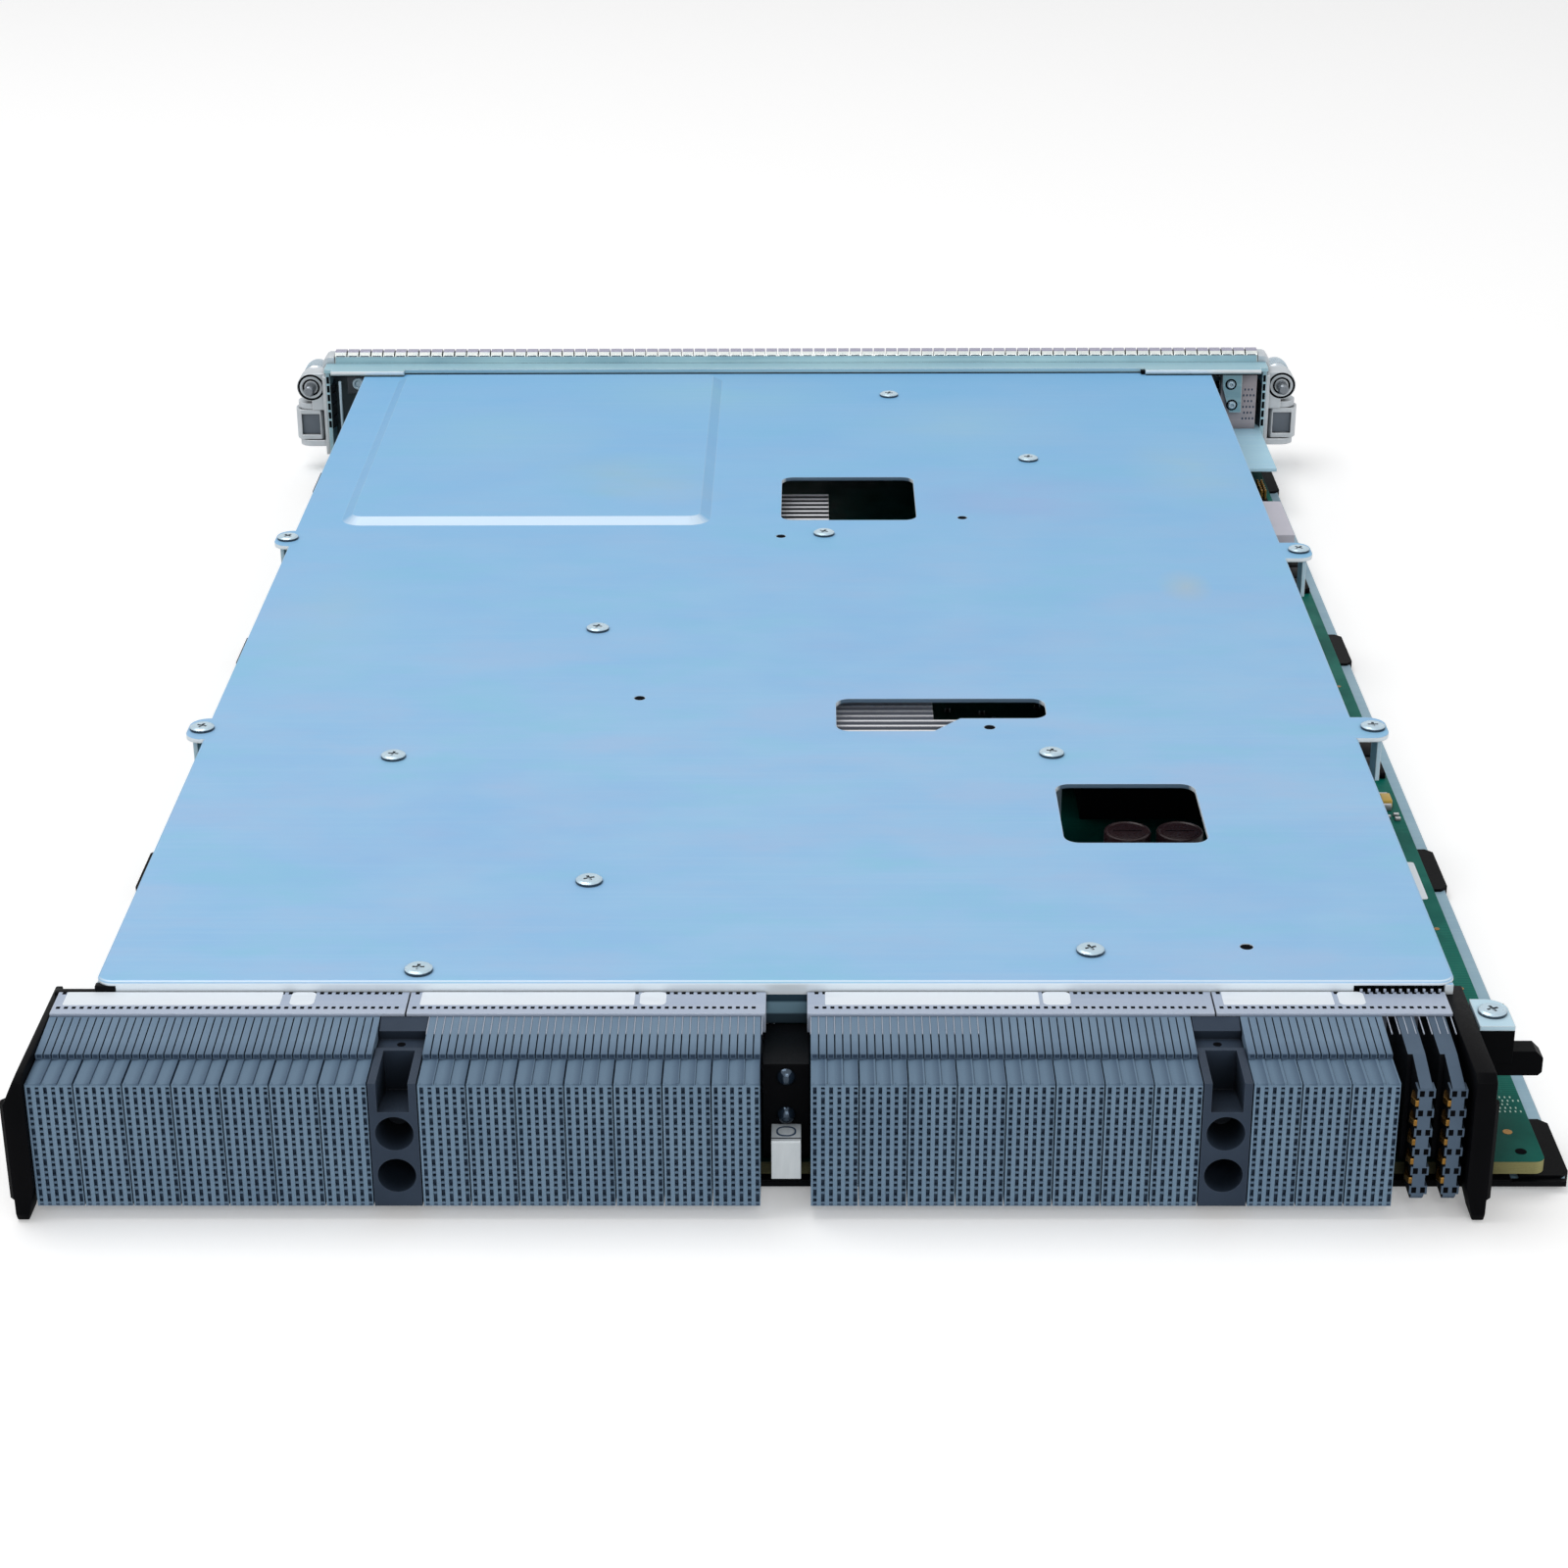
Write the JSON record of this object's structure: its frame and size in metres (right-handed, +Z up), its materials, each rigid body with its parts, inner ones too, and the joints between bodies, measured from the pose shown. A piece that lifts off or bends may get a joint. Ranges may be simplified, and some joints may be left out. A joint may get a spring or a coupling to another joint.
{
  "type": "route switch processor card",
  "caption": "Plug-in processor card for a network chassis: sheet-metal tray and cover, circuit board, backplane connector row, faceplate with levers and captive screws.",
  "frame": {"origin": "middle of the card on the surface it rests on", "axes": "+X across the card, +Y from the backplane connectors to the faceplate, +Z up from the tray to the cover"},
  "size_m": [0.3872, 0.5684, 0.0472],
  "materials": {
    "plated_sheet": "pale blue passivated zinc plating, satin with faint mottling",
    "black_plastic": "moulded black, satin",
    "black_film": "thin black insulating film",
    "charcoal_plastic": "moulded charcoal, satin",
    "connector_plastic": "slate blue-grey moulded, matt",
    "green_board": "green solder mask over laminate",
    "stiffener_steel": "stamped stainless, satin",
    "fastener_steel": "zinc plated, bright",
    "bright_nickel": "nickel plated, bright",
    "gold_contact": "gold flashed contact metal",
    "bare_aluminium": "plain, satin",
    "gasket_spring": "bright plated spring metal",
    "cast_alloy": "die cast, satin",
    "display_face": "dark glossy window",
    "light_lens": "clear light pipe",
    "button_plastic": "smooth dark cap"
  },
  "bodies": {
    "card": {"alarm_connector": "bright_nickel", "base_tray": "plated_sheet", "bay_block": "black_plastic", "board_chips": "black_plastic", "board_standoffs": "fastener_steel", "bottom_gasket": "gasket_spring", "capacitors": "bare_aluminium", "circuit_board": "green_board", "coax_jacks": "gold_contact", "connector_housing_1": "connector_plastic", "connector_housing_2": "connector_plastic", "connector_housing_3": "connector_plastic", "connector_housing_4": "connector_plastic", "corner_block": "black_plastic", "corner_gusset": "plated_sheet", "corner_tab": "stiffener_steel", "cover_standoffs": "fastener_steel", "display_window": "display_face", "drive_bracket": "plated_sheet", "edge_pads": "black_plastic", "ejector_bracket_left": "cast_alloy", "ejector_bracket_right": "cast_alloy", "end_plate_left": "black_plastic", "end_plate_right": "black_plastic", "fabric_heat_sink": "bare_aluminium", "faceplate": "plated_sheet", "fixing_screws": "fastener_steel", "ground_block": "bright_nickel", "guide_socket_1": "charcoal_plastic", "guide_socket_2": "charcoal_plastic", "insulator_film": "black_film", "lever_pins": "fastener_steel", "memory_modules": "green_board", "network_jacks": "black_plastic", "optical_cages": "bright_nickel", "power_blades": "connector_plastic", "power_contacts": "gold_contact", "power_converters": "bare_aluminium", "processor_heat_sink": "bare_aluminium", "screw_spring_left": "fastener_steel", "screw_spring_right": "fastener_steel", "service_port": "bright_nickel", "shield_can": "bright_nickel", "side_brackets": "plated_sheet", "side_gaskets": "gasket_spring", "status_lights": "light_lens", "stiffeners": "stiffener_steel", "storage_drive": "bare_aluminium", "top_cover": "plated_sheet", "top_gasket": "gasket_spring", "wafer_stacks": "connector_plastic"},
    "lever_left": {"ejector_lever_left": "cast_alloy"},
    "lever_right": {"ejector_lever_right": "cast_alloy"},
    "retainer_left": {"screw_retainer_left": "fastener_steel"},
    "retainer_right": {"screw_retainer_right": "fastener_steel"},
    "screw_left": {"captive_screw_left": "fastener_steel"},
    "screw_right": {"captive_screw_right": "fastener_steel"},
    "alarm_button": {"alarm_button": "button_plastic"},
    "lamp_button": {"lamp_button": "button_plastic"}
  },
  "joints": [
    {"name": "left_lever_turn", "type": "hinge", "parent": "card", "child": "lever_left", "pos_m": [-0.1876, 0.26675, 0.01855], "axis": [0, 0, 1], "range_deg": [0, 65]},
    {"name": "left_screw_press", "type": "slide", "parent": "card", "child": "retainer_left", "axis": [0, -1, 0], "range_m": [0, 0.0035], "stiffness_N_per_m": 300, "springref_m": -0.004, "deforming": ["screw_spring_left"]},
    {"name": "left_screw_turn", "type": "hinge", "parent": "retainer_left", "child": "screw_left", "pos_m": [-0.1865, 0.26565, 0.0338], "axis": [0, 1, 0], "continuous": true},
    {"name": "right_lever_turn", "type": "hinge", "parent": "card", "child": "lever_right", "pos_m": [0.1876, 0.26675, 0.01855], "axis": [0, 0, -1], "range_deg": [0, 65]},
    {"name": "right_screw_press", "type": "slide", "parent": "card", "child": "retainer_right", "axis": [0, -1, 0], "range_m": [0, 0.0035], "stiffness_N_per_m": 300, "springref_m": -0.004, "deforming": ["screw_spring_right"]},
    {"name": "right_screw_turn", "type": "hinge", "parent": "retainer_right", "child": "screw_right", "pos_m": [0.1865, 0.26565, 0.0338], "axis": [0, 1, 0], "continuous": true},
    {"name": "alarm_button_press", "type": "slide", "parent": "card", "child": "alarm_button", "axis": [0, -1, 0], "range_m": [0, 0.0008], "stiffness_N_per_m": 200, "springref_m": -0.0015},
    {"name": "lamp_button_press", "type": "slide", "parent": "card", "child": "lamp_button", "axis": [0, -1, 0], "range_m": [0, 0.0008], "stiffness_N_per_m": 200, "springref_m": -0.0015}
  ]
}
